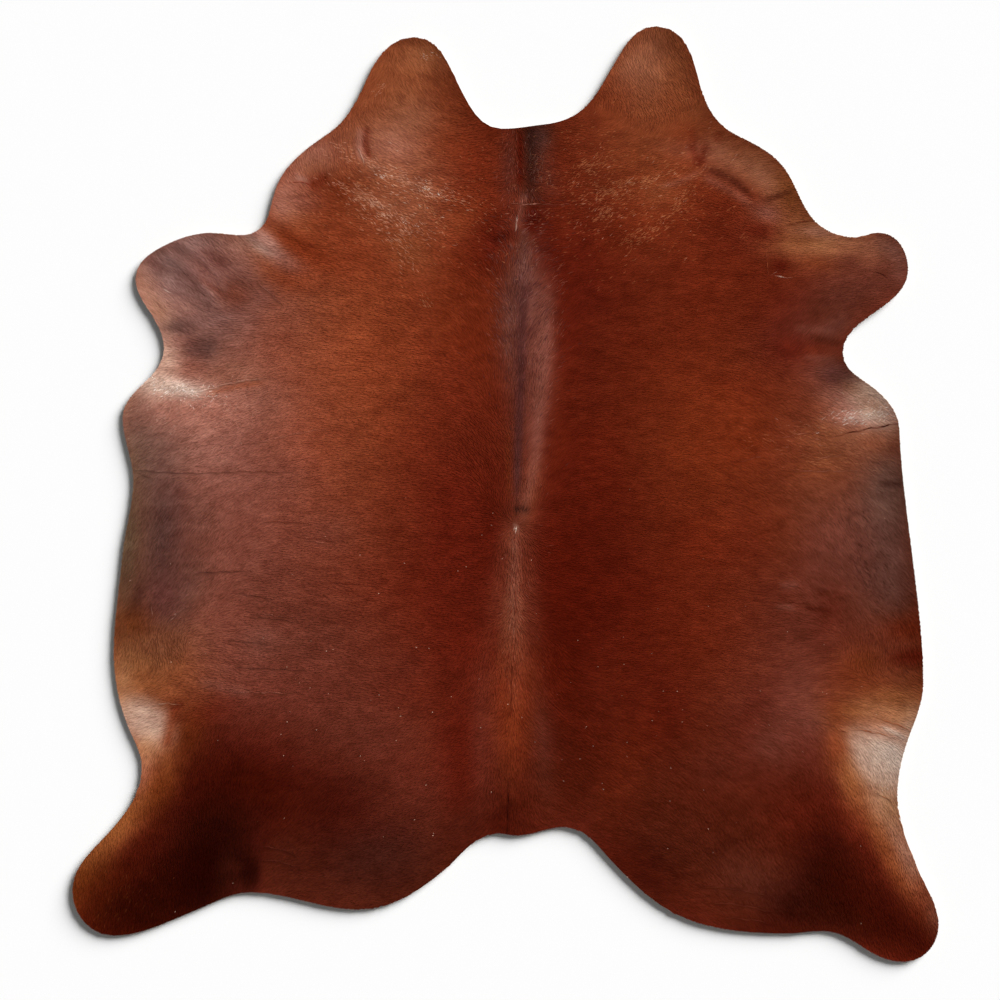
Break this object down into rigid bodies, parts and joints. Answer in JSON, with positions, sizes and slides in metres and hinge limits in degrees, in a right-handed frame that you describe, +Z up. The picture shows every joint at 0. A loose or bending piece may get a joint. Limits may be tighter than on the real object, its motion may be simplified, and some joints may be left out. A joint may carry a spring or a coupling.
{
  "type": "cowhide rug",
  "caption": "Flat natural-shape cowhide floor rug with short reddish-brown hair, lying hair side up.",
  "frame": {"origin": "on the floor, under the middle of the hide's box", "axes": "+Z up out of the hair side, +Y along the spine towards the neck, +X to the right seen from above with the neck away"},
  "size_m": [1.99, 2.15, 0.005],
  "materials": {
    "hair_on_hide": "short glossy hair lying flat, reddish brown, darker along the flanks and hind legs",
    "suede": "pale matt suede on the underside and along the cut edge"
  },
  "bodies": {
    "root": {"hide": "hair_on_hide"}
  },
  "joints": []
}
